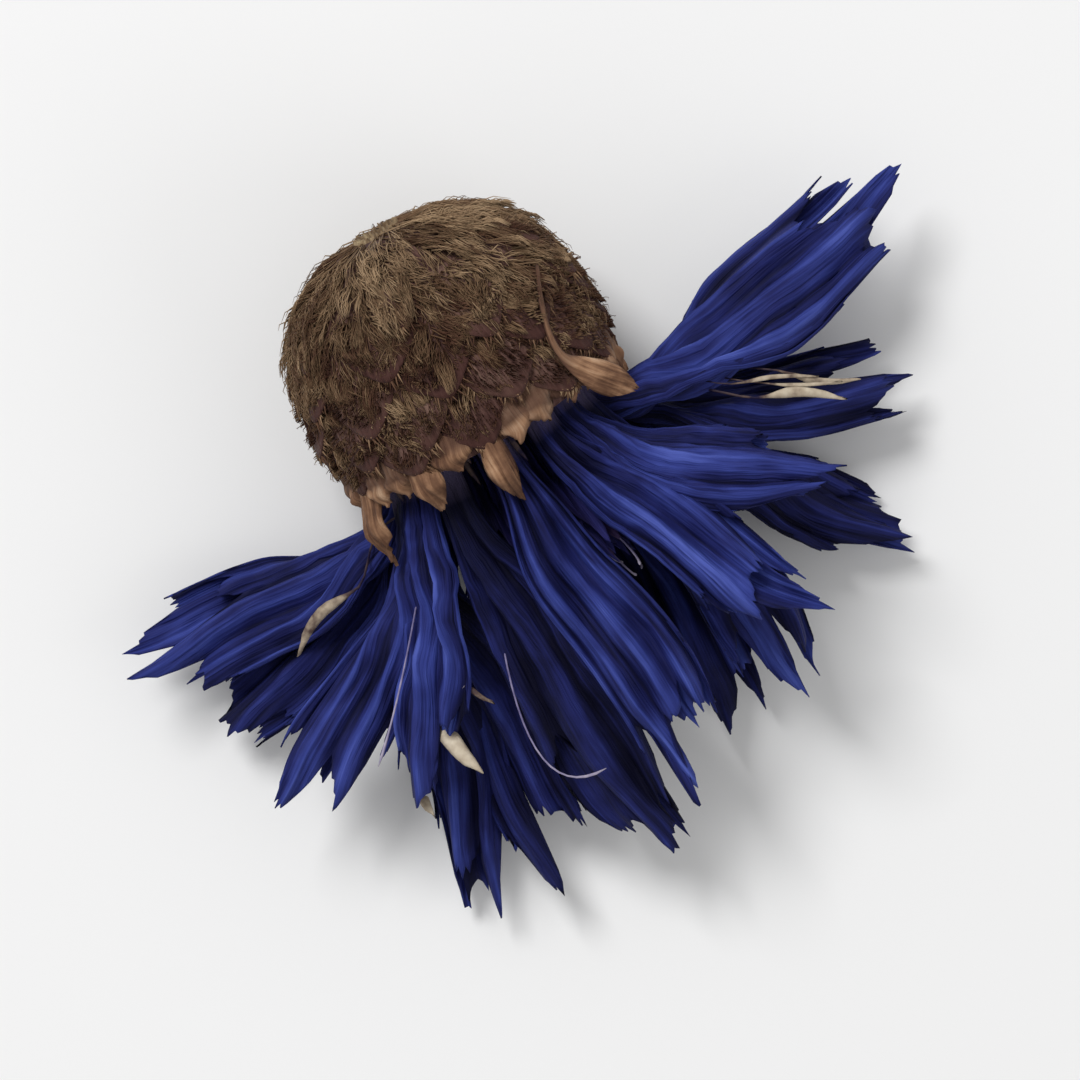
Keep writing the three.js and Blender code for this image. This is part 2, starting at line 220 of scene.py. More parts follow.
def newFinish(name, roughness, specular, sheen=0.0):
    material = bpy.data.materials.new(name)
    material.use_nodes = True
    tree = material.node_tree
    tree.nodes.clear()
    out = tree.nodes.new("ShaderNodeOutputMaterial")
    skin = tree.nodes.new("ShaderNodeBsdfPrincipled")
    skin.inputs["Roughness"].default_value = roughness
    skin.inputs["Sheen Weight"].default_value = sheen
    skin.inputs["Specular IOR Level"].default_value = specular
    tree.links.new(skin.outputs["BSDF"], out.inputs["Surface"])
    return material, tree, skin


def node(tree, kind, links=None, **settings):
    # one node, with its sockets set or linked by name or number, and its own settings
    made = tree.nodes.new("ShaderNode" + kind)
    for key, value in settings.items():
        setattr(made, key, value)
    for key, value in (links or {}).items():
        if isinstance(value, bpy.types.NodeSocket):
            tree.links.new(value, made.inputs[key])
        else:
            made.inputs[key].default_value = value
    return made


def ramp(tree, factor, stops):
    made = node(tree, "ValToRGB", {"Fac": factor})
    ends = made.color_ramp.elements
    while len(ends) < len(stops):
        ends.new(0.5)
    for end, (place, colour) in zip(ends, stops):
        end.position = place
        end.color = (*colour, 1)
    return made.outputs["Color"]


def attribute(tree, name):
    return node(tree, "Attribute", attribute_name=name).outputs["Fac"]


def maths(tree, operation, a, b):
    return node(tree, "Math", {0: a, 1: b}, operation=operation).outputs[0]


def weighted(tree, name, weight):
    return maths(tree, "MULTIPLY", attribute(tree, name), weight)


def addPatterns(tree, shade, *patterns):
    # adds each pattern to the shade, taken from its middle value and weighted
    for pattern, weight in patterns:
        centred = maths(tree, "SUBTRACT", pattern, 0.5)
        shade = maths(tree, "ADD", shade, maths(tree, "MULTIPLY", centred, weight))
    return shade


def remap(tree, value, old, new=(0.0, 1.0)):
    # an even rescaling from one range to another, clamped
    links = {"Value": value, "From Min": old[0], "From Max": old[1], "To Min": new[0], "To Max": new[1]}
    return node(tree, "MapRange", links).outputs[0]


def mixColour(tree, factor, a, b):
    return node(tree, "Mix", {0: factor, 6: a, 7: (*b, 1)}, data_type="RGBA").outputs[2]


def noise(tree, vector, scale, detail, roughness):
    links = {"Vector": vector, "Scale": scale, "Detail": detail, "Roughness": roughness}
    return node(tree, "TexNoise", links).outputs["Fac"]


def grain(tree, across, along, roughness=0.6):
    # noise in the piece's own pattern coordinates, so many times a centimetre each way
    own = node(tree, "UVMap", uv_map="surface").outputs["UV"]
    stretched = node(tree, "Mapping", {"Vector": own, "Scale": (across, along, 1)}).outputs["Vector"]
    return noise(tree, stretched, 1.0, 3.0, roughness)


def mottling(tree, scale, detail, roughness=0.55):
    # noise through the whole head, so many times a metre
    return noise(tree, node(tree, "TexCoord").outputs["Object"], scale, detail, roughness)


def bump(tree, skin, height, depth):
    # relief of a depth in millimetres
    made = node(tree, "Bump", {"Height": height, "Distance": depth / 1000, "Strength": 1.0})
    tree.links.new(made.outputs["Normal"], skin.inputs["Normal"])


# Florets of both kinds end in lobes

def lobesRound(turn, count, shift):
    # round a floret's edge: the lobe's number, the place across it from 0 to 1, and how near its
    # middle that is
    phase = (count * turn / (2 * np.pi) + shift) % count
    which = np.floor(phase)
    part = phase - which
    return which, part, 1 - np.abs(2 * part - 1)


def rowsTo(rows, share, foot, end):
    # places along a floret: a share of its rows runs evenly to its foot, and the others on to its edge
    v = np.linspace(0, 1, rows)[:, None]
    return np.where(v < share, foot * v / share, foot + (end - foot) * (v - share) / (1 - share))


def stackFlorets(florets):
    points, inner, uv, values = zip(*florets)
    shape = points[0].shape[:2]
    joined = {key: np.stack([np.broadcast_to(value[key], shape) for value in values]) for key in values[0]}
    return np.stack(points), np.stack(inner), np.stack(uv), joined


def petalFinish(name, stops, pale):
    # fine veins run the length, the folds get painted shade in their valleys and painted light on their
    # ridges, all is painted darker down in the cup as its shade, and the tube is pale at its foot
    material, tree, skin = newFinish(name, 0.62, specular=0.12)
    veins = grain(tree, 110, 2.6)
    streaks = grain(tree, 26, 1.6, 0.55)
    clouds = grain(tree, 6, 3.0)
    # painted shade: each floret is darker from halfway along it down to its root in the cup
    cupShade = remap(tree, attribute(tree, "along"), (0.2, 0.5), (-0.4, -0.14))
    # painted light and shade of the folds: lighter on their ridges, darker in their valleys
    shade = maths(tree, "ADD", cupShade, weighted(tree, "foldShade", 0.64))
    shade = maths(tree, "ADD", shade, weighted(tree, "tone", 0.34))
    shade = addPatterns(tree, shade, (clouds, 0.9), (streaks, 0.9), (veins, 0.75))
    colour = ramp(tree, shade, stops)
    foot = remap(tree, attribute(tree, "along"), (0.2, 0.04))
    tree.links.new(mixColour(tree, foot, colour, pale), skin.inputs["Base Color"])
    bump(tree, skin, maths(tree, "ADD", veins, streaks), 0.13)
    tree.links.new(remap(tree, veins, (0.0, 1.0), (0.55, 0.85)), skin.inputs["Roughness"])
    return material


# Ray florets: crumpled trumpets pressed flat, fanned out from the rim

rays = {
    # forward of the widest section, to its side, height, rise past the rim, width, teeth, roll,
    # and how light its blue is: its own tone, with painted shade that makes the low-lying ones darker
    "tips": [
        (3.0, -13.4, 2.0, 2.0, 3.2, 4, 0, 0.8), (6.2, -13.2, 1.2, 2.2, 2.5, 3, 10, 0.4),
        (9.8, -11.0, 3.4, 2.4, 2.6, 3, -15, 0.75), (11.6, -7.8, 4.8, 2.4, 2.2, 3, 10, 0.95),
        (15.6, -7.4, 1.0, 2.4, 2.8, 4, 5, 0.45), (16.0, -4.4, 1.6, 2.4, 2.8, 4, -8, 0.35),
        (16.0, -1.9, 3.4, 3.0, 3.2, 3, 8, 0.15), (15.4, 0.6, 5.6, 2.4, 2.8, 4, 12, 0.9),
        (14.2, 2.6, 1.2, 3.0, 2.6, 3, 0, 0.15), (14.6, 4.8, 2.8, 2.4, 2.6, 3, -10, 0.5),
        (12.6, 6.4, 7.0, 2.4, 2.6, 3, 5, 0.85), (8.4, 9.0, 6.4, 2.2, 2.7, 3, -8, 0.95),
        (1.4, 14.8, 2.8, 1.9, 3.4, 4, 0, 0.9), (7.2, 13.4, 1.4, 2.0, 2.6, 3, 10, 0.45),
        (12.4, 10.8, 0.6, 2.2, 2.6, 3, 0, 0.2), (5.6, -10.4, 0.0, 2.0, 2.6, 3, 0, 0.0),
        (13.0, 1.4, 0.0, 2.2, 2.6, 3, 0, 0.0), (5.4, 10.6, 0.0, 2.0, 2.6, 3, 0, 0.0),
    ],
    "raised": 0.3,  # of its middle over the height that is given for its tip
    "rootAt": 5.0, "exitAt": 7.2, "ring": 3.05, "even": 0.6,
    "lean": 0.25,  # outwards, as a share of its rise past the rim
    "level": 0.6, "tail": 0.4,  # how level its end is turned, and the share of its reach that this takes
    "flat": 0.75, "flatOver": (0.3, 0.8),  # how far its back turns up, and along what part of it
    "rollOver": (0.2, 1.0),
    "columns": 90, "rows": 40, "least": 0.06,
    "tube": 1.05, "tubeDepth": 0.36,  # width at the rim, and half of its thickness as a share of that
    "fullWidthAt": 0.66, "widthWander": 0.16,
    "moreLobes": 1,  # than twice its teeth, round both sides of it
    "footAt": 0.61,  # where the rows of its lobes begin
    "cleftFrom": 0.63, "cleftTo": 0.93,  # shares of the length between which its lobes part
    "lobeJitter": 0.2, "sideLoss": 0.15,  # how much shorter a lobe can be, and is at its sides
    "blunt": (0.26, 0.3),  # the power that rounds a lobe's end, and how much more some have
    "ragged": [(0.012, 41), (0.008, 73)],  # depths of the nicks in its edge, and how many go round it
    "pinch": 0.28,  # how much a lobe narrows towards its tip
    "trough": 0.12,  # how far its sides droop, as a share of its width
    "pleat": 0.26, "crease": 0.08,  # depths of its broad folds and of the fine ones on them
    "creases": 2.5,  # of the fine ones on each lobe
    "foldsOver": (0.1, 0.34),  # the part of its length along which they grow
    "puff": 0.22,  # half of its thickness where it lies pressed flat
    "crumple": 0.36, "wrinkle": 0.08, "curl": 1.0, "twist": 1.3, "stray": 0.42, "sway": 0.4,
    "left": 9,  # florets in the first of the two pieces that they are made as
    "wall": 0.05,
    "blue": [(0.0, (0.002, 0.002, 0.014)), (0.26, (0.006, 0.007, 0.042)), (0.48, (0.014, 0.018, 0.11)),
             (0.72, (0.034, 0.05, 0.25)), (1.0, (0.085, 0.12, 0.46))],
    "pale": (0.2, 0.16, 0.3),
}


def rayAngles(tips):
    # between each tip's own angle and its even place in the order round the ring
    spots = spotAt(tips[:, 0], tips[:, 1], tips[:, 2] + rays["raised"])
    own = np.arctan2(spots[:, 0], spots[:, 1])
    rank = np.argsort(np.argsort(own))
    even = 2 * np.pi * (rank + 0.5) / len(tips) - np.pi
    return spots, own + (even - own) * rays["even"]


def rayLine(s, angle, tip, rise):
    # straight up from the ring to the rim, then one cubic curve that leaves along the axis and
    # ends more level than it ran
    away = outward(np.array(angle))
    root = away * rays["ring"] + axis * rays["rootAt"]
    leaveRim = away * rays["ring"] + axis * rays["exitAt"]
    reach = np.linalg.norm(tip - leaveRim)
    first = leaveRim + axis * rise + away * rise * rays["lean"]
    arrive = tip - first
    arrive = unit(arrive - rays["level"] * (arrive @ up) * up)
    second = tip - rays["tail"] * reach * arrive
    inCup = rays["exitAt"] - rays["rootAt"]
    rootShare = inCup / (inCup + reach)
    t = np.clip((s - rootShare) / (1 - rootShare), 0, None)[..., None]
    curve = (1 - t) ** 3 * leaveRim + 3 * (1 - t) ** 2 * t * first
    curve = curve + 3 * (1 - t) * t * t * second + t ** 3 * tip
    straight = root + (leaveRim - root) * np.clip(s / rootShare, 0, 1)[..., None]
    return np.where(s[..., None] < rootShare, straight, curve), rootShare


def rayHeading(s, angle, tip, rise):
    # the way its line runs, from the points a small step further on and behind
    step = 0.01
    further = rayLine(np.minimum(s + step, 1), angle, tip, rise)[0]
    behind = rayLine(np.maximum(s - step, 0), angle, tip, rise)[0]
    return unit(further - behind)


def rayFrame(s, angle, tip, rise, roll):
    # The back faces outward at the rim and turns to lie flat further out, then rolls about the
    # line. Where the floret bends so far that its back would face down halfway, it turns down.
    away = outward(np.array(angle))
    along = rayHeading(s, angle, tip, rise)
    back = away * (along @ axis)[..., None] - axis * (along @ away)[..., None]
    halfway = rayHeading(np.array([0.45]), angle, tip, rise)[0]
    facing = -1 if (away * (halfway @ axis) - axis * (halfway @ away)) @ up < -0.2 else 1
    back = back + (facing * up - back) * (rays["flat"] * smooth(*rays["flatOver"], s))[..., None]
    back = unit(back - along * np.sum(back * along, -1, keepdims=True))
    turn = (np.radians(roll) * smooth(*rays["rollOver"], s))[..., None]
    back = back * np.cos(turn) + np.cross(along, back) * np.sin(turn)
    return back, np.cross(along, back)


def rayEdge(index, turn, count, which, part, lobe):
    # The far edge runs out to the lobes' blunt ragged tips and back to clefts of uneven depth.
    # Gives the places along the floret, and how far past the clefts each of them is.
    depth = rays["cleftTo"] - rays["cleftFrom"]
    before, after = scatter(which, index + 50), scatter((which + 1) % count, index + 50)
    cleft = rays["cleftFrom"] + depth * ((1 - part) * before + part * after)
    centre = 2 * np.pi * (which + 0.5 - scatter(index, 3)) / count
    lobeEnd = 1 - rays["lobeJitter"] * scatter(which, index) - rays["sideLoss"] * np.abs(np.cos(centre)) ** 3
    ragged = 0
    for k, (nick, waves) in enumerate(rays["ragged"], 1):
        ragged = ragged + nick * np.sin(waves * turn + k * index)
    blunt = rays["blunt"][0] + rays["blunt"][1] * scatter(which, index + 71)
    end = cleft + (lobeEnd - cleft) * lobe ** blunt + ragged * lobe
    s = rowsTo(rays["rows"], 0.5, rays["footAt"], end)
    return s, np.clip((s - cleft) / (1 - cleft), 0, 1)


def rayFloret(index, spot, angle, tip):
    # A trumpet pressed flat. Round it: across is the cosine of the turn, and thickness its sine.
    # Its broad folds are one to a lobe, with fine creases over them that wander along it. Past
    # its clefts each lobe narrows, strays sideways, twists and curls by its own amount.
    # light is each floret's own tone together with painted shade: the lower florets are darker
    rise, width, teeth, roll, light = tip[3:]
    count = int(2 * teeth + rays["moreLobes"])
    turn = roundTurn(rays["columns"])[None, :]
    which, part, lobe = lobesRound(turn, count, scatter(index, 3))
    s, past = rayEdge(index, turn, count, which, part, lobe)
    bent = turn - (part - 0.5) * 2 * np.pi / count * rays["pinch"] * past
    x, layer = np.cos(bent), np.sin(bent)
    back, sideways = rayFrame(s, angle, spot, rise, roll)
    middle, rootShare = rayLine(s, angle, spot, rise)
    spread = smooth(rootShare, rays["fullWidthAt"], s)
    wide = rays["tube"] + (width - rays["tube"]) * spread
    wide = wide * (1 + rays["widthWander"] * drift(s, 0 * s, index + 5, 1.8))
    fold = 2 * lobe ** 0.8 - 1
    wander = 0.5 * drift(s, 0 * s, index + 15, 1.5)
    crease = np.sin(2 * np.pi * (rays["creases"] * (which + part) + wander + scatter(which, index + 16)))
    crease = crease * (0.5 + 0.5 * drift(2 * s, 0.3 * (which + part), index + 17, 1.2))
    grown = smooth(*rays["foldsOver"], s)
    puff = rays["tube"] * rays["tubeDepth"] * (1 - spread) + rays["puff"] * spread
    puff = puff * (1 + 0.4 * drift(s, x, index + 31, 0.9)) + 0.08 * past
    folds = rays["pleat"] * (0.4 + 1.2 * scatter(which, index + 7)) * fold + rays["crease"] * crease
    lift = layer * puff + np.sign(layer) * np.abs(layer) ** 0.5 * grown * folds
    lift = lift - wide * rays["trough"] * x * x * spread
    lift = lift + rays["crumple"] * drift(1.6 * s, 0.9 * x, index + 60, 1.5) * smooth(0.15, 0.5, s)
    lift = lift + rays["wrinkle"] * drift(5 * s, 4 * x + layer, index + 160, 1.5) * grown
    twist = rays["twist"] * either(which, index + 95) * (part - 0.5) * 2 * width / count
    lift = lift + rays["curl"] * either(which, index + 90) * past ** 1.6 + twist * past
    stray = rays["stray"] * either(which, index + 99) * past
    stray = stray + 0.14 * drift(1.5 * s, 0 * s, index + 3 * which, 1.5) * past
    sway = rays["sway"] * drift(s, 0 * s, index + 77, 1.1)
    sway = sway * smooth(0.1, 0.5, s) * (1 - 0.6 * smooth(0.8, 1, s))
    points = middle + sideways * (x * wide / 2 + sway + stray)[..., None] + back * lift[..., None]
    length = (rays["exitAt"] - rays["rootAt"]) / rootShare
    uv = roundUv(rays["columns"], 2.3 * width, closeRound(s) * length + 3.7 * index)
    # painted light and shade of the folds: the ridges lighter, the valleys darker
    foldShade = 0.5 + 0.3 * grown * fold + 0.2 * grown * crease
    lobeTone = 0.35 * (scatter(which, index + 61) - 0.5) * smooth(0.2, 0.5, s)
    return points, middle, uv, {"along": s, "foldShade": foldShade, "tone": light + lobeTone}


tips = np.array(rays["tips"], float)
spots, angles = rayAngles(tips)
rayBlue = petalFinish("ray floret blue", rays["blue"], rays["pale"])
florets = [rayFloret(i, spots[i], angles[i], tips[i]) for i in range(len(tips))]
halves = {"ray_florets_left": florets[:rays["left"]], "ray_florets_right": florets[rays["left"]:]}
for name, group in halves.items():
    rayPiece = gridMesh(name, *stackFlorets(group), closed=True, least=rays["least"])
    finishPiece(rayPiece, rayBlue, "ray_florets", rays["wall"])
    print(name + ":", len(rayPiece.data.polygons), "faces")


# Disc florets: slender tubes with five narrow lobes, an anther tube and a style in each

discs = {
    "count": 29, "turnBy": 0.6,
    "neck": 6.4, "top": 7.7,  # where on the axis they begin, and where their lengths are counted from
    "rootSpread": 1.9, "tipSpread": 3.4,
    "least": 3.6, "jitter": 2.0, "rimLoss": 0.8,  # the least length, what is added, and lost at the rim
    "columns": 30, "rows": 18,
    "lobes": 5, "footAt": 0.5, "cleftAt": 0.52, "lobeJitter": 0.12, "pinch": 0.5,
    "tube": 0.2, "mouth": 0.42, "flare": 0.95, "mouthOver": (0.3, 0.56), "droop": 0.5,
    "wall": 0.05,
    "violet": [(0.0, (0.004, 0.003, 0.02)), (0.4, (0.012, 0.01, 0.065)), (0.75, (0.035, 0.035, 0.19)),
               (1.0, (0.075, 0.08, 0.36))],
    "pale": (0.2, 0.16, 0.28),
}


def discPaths():
    # roots follow the golden angle, and each floret bends outwards on a quadratic curve
    index = np.arange(discs["count"])
    turn = index * np.pi * (3 - math.sqrt(5)) + discs["turnBy"]
    share = np.sqrt((index + 0.5) / discs["count"])
    length = discs["least"] + discs["jitter"] * scatter(index, 7) - discs["rimLoss"] * share
    away = outward(turn)

    def spot(spread, z):
        return away * (spread * share)[:, None] + axis * np.reshape(z, (-1, 1))
    return (spot(discs["rootSpread"], np.full(len(index), discs["neck"])),
            spot(discs["rootSpread"], discs["top"] + 0.45 * length),
            spot(discs["tipSpread"], discs["top"] + length))


def alongPath(a, b, c, s):
    return (1 - s) ** 2 * a + 2 * s * (1 - s) * b + s * s * c


def discFloret(index, a, b, c):
    # the radius grows from the tube to the mouth, and past the clefts each lobe narrows to a
    # point, bends its own way and leans outwards
    turn = roundTurn(discs["columns"])[None, :]
    which, part, lobe = lobesRound(turn, discs["lobes"], scatter(index, 5))
    cleft = discs["cleftAt"]
    tip = 1.0 - discs["lobeJitter"] * scatter(which, index + 3)
    end = cleft + (tip - cleft) * lobe ** 0.7
    s = rowsTo(discs["rows"], 0.4, discs["footAt"], end)
    past = np.clip((s - cleft) / (1 - cleft), 0, 1)
    bent = turn - (part - 0.5) * 2 * np.pi / discs["lobes"] * discs["pinch"] * past
    bent = bent + 0.5 * (scatter(which, index + 8) - 0.5) * past
    step = 0.01
    middle = alongPath(a, b, c, s[..., None])
    along = unit(alongPath(a, b, c, s[..., None] + step) - alongPath(a, b, c, s[..., None] - step))
    first = unit(np.cross(along, np.array([0.0, 1.0, 0.0])))
    second = np.cross(along, first)
    radius = discs["tube"] + (discs["mouth"] - discs["tube"]) * smooth(*discs["mouthOver"], s)
    opened = past ** 1.3 * (0.5 + scatter(which, index + 12))
    radius = radius + (discs["flare"] - discs["mouth"]) * opened + 0.05 * lobe
    droop = -discs["droop"] * past ** 2 * scatter(which, index + 30)
    points = middle + first * (radius * np.cos(bent))[..., None] + second * (radius * np.sin(bent))[..., None]
    points = points + along * droop[..., None]
    uv = roundUv(discs["columns"], 2.4, closeRound(s) * 6 + 1.3 * index)
    # painted light and shade: each lobe lighter in its middle and darker at its sides; along, raised from
    # 0.3, sets the painted shade low in the cup
    return points, middle, uv, {"along": 0.3 + 0.7 * s, "foldShade": lobe, "tone": scatter(index, 17)}


discBlue = petalFinish("disc floret violet", discs["violet"], discs["pale"])
discRoots, discBends, discTips = discPaths()
florets = [discFloret(i, discRoots[i], discBends[i], discTips[i]) for i in range(discs["count"])]
discPiece = gridMesh("disc_florets_fine", *stackFlorets(florets), closed=True)
finishPiece(discPiece, discBlue, "disc_florets", discs["wall"])
print("disc florets:", len(discPiece.data.polygons), "faces")


antherTubes = {
    "from": 0.45, "to": 0.87,  # shares of its floret's line
    "radii": [0.05, 0.13, 0.15, 0.15, 0.14, 0.14, 0.15, 0.12, 0.03],
    "sides": 8,
    "violet": [(0.2, (0.006, 0.003, 0.02)), (0.6, (0.03, 0.016, 0.075)), (1.0, (0.12, 0.08, 0.18))],
}
styles = {
    "from": 0.8, "past": 0.25,  # where on its floret's line a style begins, and how far it stands out
    "lean": 0.3,
    # long loose ones, each by where it starts, bends and ends: forward, side, height
    "loose": [((6.4, -2.2, 5.4), (12.6, -4.9, 5.9), (12.6, -2.0, 5.1)),
              ((4.6, -3.6, 5.0), (7.6, -6.0, 6.0), (9.2, -7.8, 5.1)),
              ((4.8, -2.8, 5.2), (8.6, -5.4, 5.8), (8.4, -4.4, 5.4))],
    "radius": 0.029, "tipRadius": 0.012,
    "knob": 0.016, "knobAt": 0.9, "knobLength": 0.07,  # how much thicker near its tip, where, how long
    "steps": 17, "sides": 6,
    "pale": [(0.2, (0.05, 0.04, 0.14)), (0.5, (0.26, 0.23, 0.38)), (0.9, (0.6, 0.54, 0.58))],
}


def anthersAndStyles():
    # a dark anther tube stands in each mouth, and a thin pale style runs out of it, a little bent
    anthers, threads = [], []
    t = np.linspace(antherTubes["from"], antherTubes["to"], len(antherTubes["radii"]))[:, None]
    fine = np.linspace(0, 1, styles["steps"])[:, None]
    for i in range(discs["count"]):
        a, b, c = discRoots[i], discBends[i], discTips[i]
        anthers.append(alongPath(a, b, c, t))
        end = c + unit(c - b) * styles["past"] * (0.6 + 0.4 * scatter(i, 31))
        lean = outward(np.array(6.28 * scatter(i, 44))) * styles["lean"]
        threads.append(alongPath(alongPath(a, b, c, styles["from"]), c, end + lean, fine))
    for first, bend, last in styles["loose"]:
        threads.append(alongPath(spotAt(*first), spotAt(*bend), spotAt(*last), fine))
    return np.array(anthers), np.array(threads)


def threadFinish(name, stops, roughness=0.55):
    # mottled, and lighter towards the end
    material, tree, skin = newFinish(name, roughness, specular=0.12)
    mottle = mottling(tree, 2400, 3.0)
    shade = maths(tree, "ADD", maths(tree, "MULTIPLY", mottle, 0.6), weighted(tree, "along", 0.4))
    tree.links.new(ramp(tree, shade, stops), skin.inputs["Base Color"])
    bump(tree, skin, mottle, 0.03)
    return material


anthers, threads = anthersAndStyles()
antherPiece = hairMesh("anther_tubes", anthers, antherTubes["radii"], antherTubes["sides"])
finishPiece(antherPiece, threadFinish("anther violet", antherTubes["violet"]))
onKnob = np.exp(-((np.linspace(0, 1, styles["steps"]) - styles["knobAt"]) / styles["knobLength"]) ** 2)
styleRadii = styles["radius"] + styles["knob"] * onKnob
styleRadii[-1] = styles["tipRadius"]
stylePiece = hairMesh("styles", threads, styleRadii, styles["sides"])
finishPiece(stylePiece, threadFinish("style pale", styles["pale"]))
print("anthers and styles:", len(anthers), "and", len(threads))


chaff = {
    # cream slivers that show among the florets, each by where its blade starts and ends (forward,
    # side, height), its width, how far it bows aside, and how brown it is
    "shown": [
        ((8.6, -5.4, 5.0), (10.9, -5.2, 5.6), 0.56, 0.22, 0.0),
        ((10.2, -7.0, 4.4), (11.3, -7.1, 5.0), 0.36, 0.1, 0.15),
        ((5.3, 7.2, 5.3), (6.7, 9.6, 4.1), 0.3, -0.2, 0.1),
        ((4.9, 8.2, 4.8), (6.4, 10.3, 3.5), 0.2, 0.2, 0.3),
        ((4.6, 6.8, 5.4), (5.7, 9.2, 4.2), 0.12, -0.1, 0.3),
        ((5.0, 7.6, 5.1), (6.2, 9.8, 4.0), 0.1, 0.1, 0.2),
        ((4.3, -5.6, 4.5), (5.2, -8.3, 3.5), 0.34, 0.35, 0.4),
        ((8.0, -4.3, 5.2), (9.3, -3.9, 5.1), 0.14, 0.15, 0.6),
    ],
    "footRadius": 2.4, "footAt": 6.0, "stalk": 1.6, "dip": 0.9,
    "thread": 0.6,  # the share of a sliver's line that is its thread
    # the short ones: how many, their width, bow and brownness (nearly all dark, as painted shade deep among
    # the florets' feet), and the share that is thread
    "short": 44, "width": 0.18, "bow": 0.1, "shadeDark": 0.98, "shortThread": 0.3,
    "rows": 24, "columns": 7, "wall": 0.05,
    "cream": [(0.25, (0.012, 0.008, 0.03)), (0.42, (0.1, 0.065, 0.055)), (0.6, (0.42, 0.34, 0.25)),
              (0.85, (0.68, 0.6, 0.47))],
}


def chaffLines():
    # Each scale's knots, the share of it that is thread, its width, bow and brownness. Those that
    # show rise from the cup and dip low between the florets. The short ones stand between the
    # florets' feet.
    lines = []
    for start, end, width, bow, brown in chaff["shown"]:
        begin, tip = spotAt(*start), spotAt(*end)
        away = unit(begin * np.array([1, 1, 0]))
        foot = away * chaff["footRadius"] + axis * chaff["footAt"]
        low = foot + (begin - foot) * 0.6 - up * chaff["dip"]
        knots = [foot, foot + axis * chaff["stalk"], low, begin - up * 0.3, (begin + tip) / 2, tip]
        lines.append((np.array(knots), chaff["thread"], width, bow, brown))
    for i in range(chaff["short"]):
        away = outward(np.array(2 * np.pi * (i + scatter(i, 2)) / chaff["short"]))
        foot = away * (2.2 + 1.3 * scatter(i, 6)) + axis * 5.2
        end = foot + away * 0.4 * scatter(i, 9) + axis * (1.3 + 1.2 * scatter(i, 8))
        knots = np.array([foot, (foot + end) / 2, end])
        # the short scales are real, but their dark brown is painted shade of the head's deep middle
        lines.append((knots, chaff["shortThread"], chaff["width"], chaff["bow"], chaff["shadeDark"]))
    return lines


def chaffBlades():
    # Narrow scales of the receptacle. Each is a dark thread, and then a thin blade that widens
    # fast, bows aside by a sine, tapers and ends ragged.
    v = np.linspace(0, 1, chaff["rows"])[:, None, None]
    x = np.linspace(-1, 1, chaff["columns"])[None, :, None]
    flat = np.ones((1, chaff["columns"]))
    points, inner, shares = [], [], []
    for i, (knots, thread, width, bow, brown) in enumerate(chaffLines()):
        middle = smoothLine(knots, v[..., 0] * flat)
        along = unit(knots[-1] - knots[-2])
        side = unit(np.cross(along, up + 0.5 * outward(np.array(6.28 * scatter(i, 12)))))
        out = np.cross(side, along)
        share = np.clip((v - thread) / (1 - thread), 0, 1)
        half = width / 2 * np.maximum(0.14, smooth(0, 0.4, share) * (1 - 0.75 * share ** 3))
        half = half * (1 - 0.7 * smooth(0.93, 1, v))
        middle = middle + side * bow * np.sin(np.pi * share)
        middle = middle - along * (0.14 * x * x + 0.06 * np.sin(9 * x + i)) * smooth(0.8, 1, share)
        cupped = 0.5 * half * (1 - x * x) + 0.15 * width * np.sin(5 * share + i) * share
        points.append(middle + side * x * half + out * cupped)
        inner.append(points[-1] - out)
        shares.append(smooth(0.0, 0.3, share[..., 0]) * (1 - brown) * flat)
    uv = surfaceUv(x[..., 0] * 0.3, v[..., 0] * 5)[None] * np.ones((len(points), 1, 1, 1))
    return np.array(points), np.array(inner), uv, {"along": np.array(shares)}


chaffPiece = gridMesh("chaff", *chaffBlades())
finishPiece(chaffPiece, threadFinish("chaff cream", chaff["cream"], 0.5), None, chaff["wall"])
print("chaff:", len(chaffPiece.data.polygons), "faces")


# Involucre: the body under the bracts, and the bracts row by row

cup = {
    "bulgeRadius": 4.45, "baseRoundness": 2.3, "rimAt": 6.6, "rimRadius": 4.2, "sideFrom": 0.15,
    "cupRadius": 3.7, "cupFloorAt": 4.4, "scarRadius": 0.8, "scarDepth": 0.35, "sides": 120,
}


def bodyRadius(z):
    # a rounded base up to the widest section, then narrowing a little to the rim
    below = np.clip((lie["bulgeAt"] - z) / lie["bulgeAt"], 0, 1)
    base = cup["bulgeRadius"] * np.sqrt(np.maximum(1 - below ** cup["baseRoundness"], 0))
    above = (z - lie["bulgeAt"]) / (cup["rimAt"] - lie["bulgeAt"])
    narrowed = cup["bulgeRadius"] - (cup["bulgeRadius"] - cup["rimRadius"]) * above ** 2
    return np.where(z <= lie["bulgeAt"], base, narrowed)


def slopeOut(away, z):
    # the way out of the body's surface at a height along the axis
    step = 0.2
    at = np.clip(z, 2 * step, cup["rimAt"])
    slope = (bodyRadius(at + step) - bodyRadius(at - step)) / (2 * step)
    return unit(away - axis * slope[..., None])


def involucreBody():
    # a profile of radius and height turned round the axis: scar, outer side, rim, cup and floor
    scarAt, rim, inside, floorAt = [cup[key] for key in ("scarDepth", "rimAt", "cupRadius", "cupFloorAt")]
    outer = cup["sideFrom"] + (rim - cup["sideFrom"]) * np.linspace(0.03, 1, 30) ** 1.3
    profile = [(0.02, scarAt), (0.4, scarAt + 0.04), (0.66, scarAt), (cup["scarRadius"], 0.12)]
    profile += list(zip(bodyRadius(outer), outer))
    profile += [(4.0, rim + 0.06), (inside, rim - 0.05), (inside, 5.4), (inside - 0.1, 4.7)]
    profile += [(3.3, floorAt), (1.6, floorAt), (0.02, floorAt)]
    r, z = np.array(profile).T
    points = outward(roundTurn(cup["sides"]))[None, :, :] * r[:, None, None] + axis * z[:, None, None]
    uv = roundUv(cup["sides"], 27, z[:, None])
    values = {"along": (z / rim)[None, :, None], "tone": 0.4, "edge": 0.0}
    return points[None], 3.0 * axis, uv[None], values


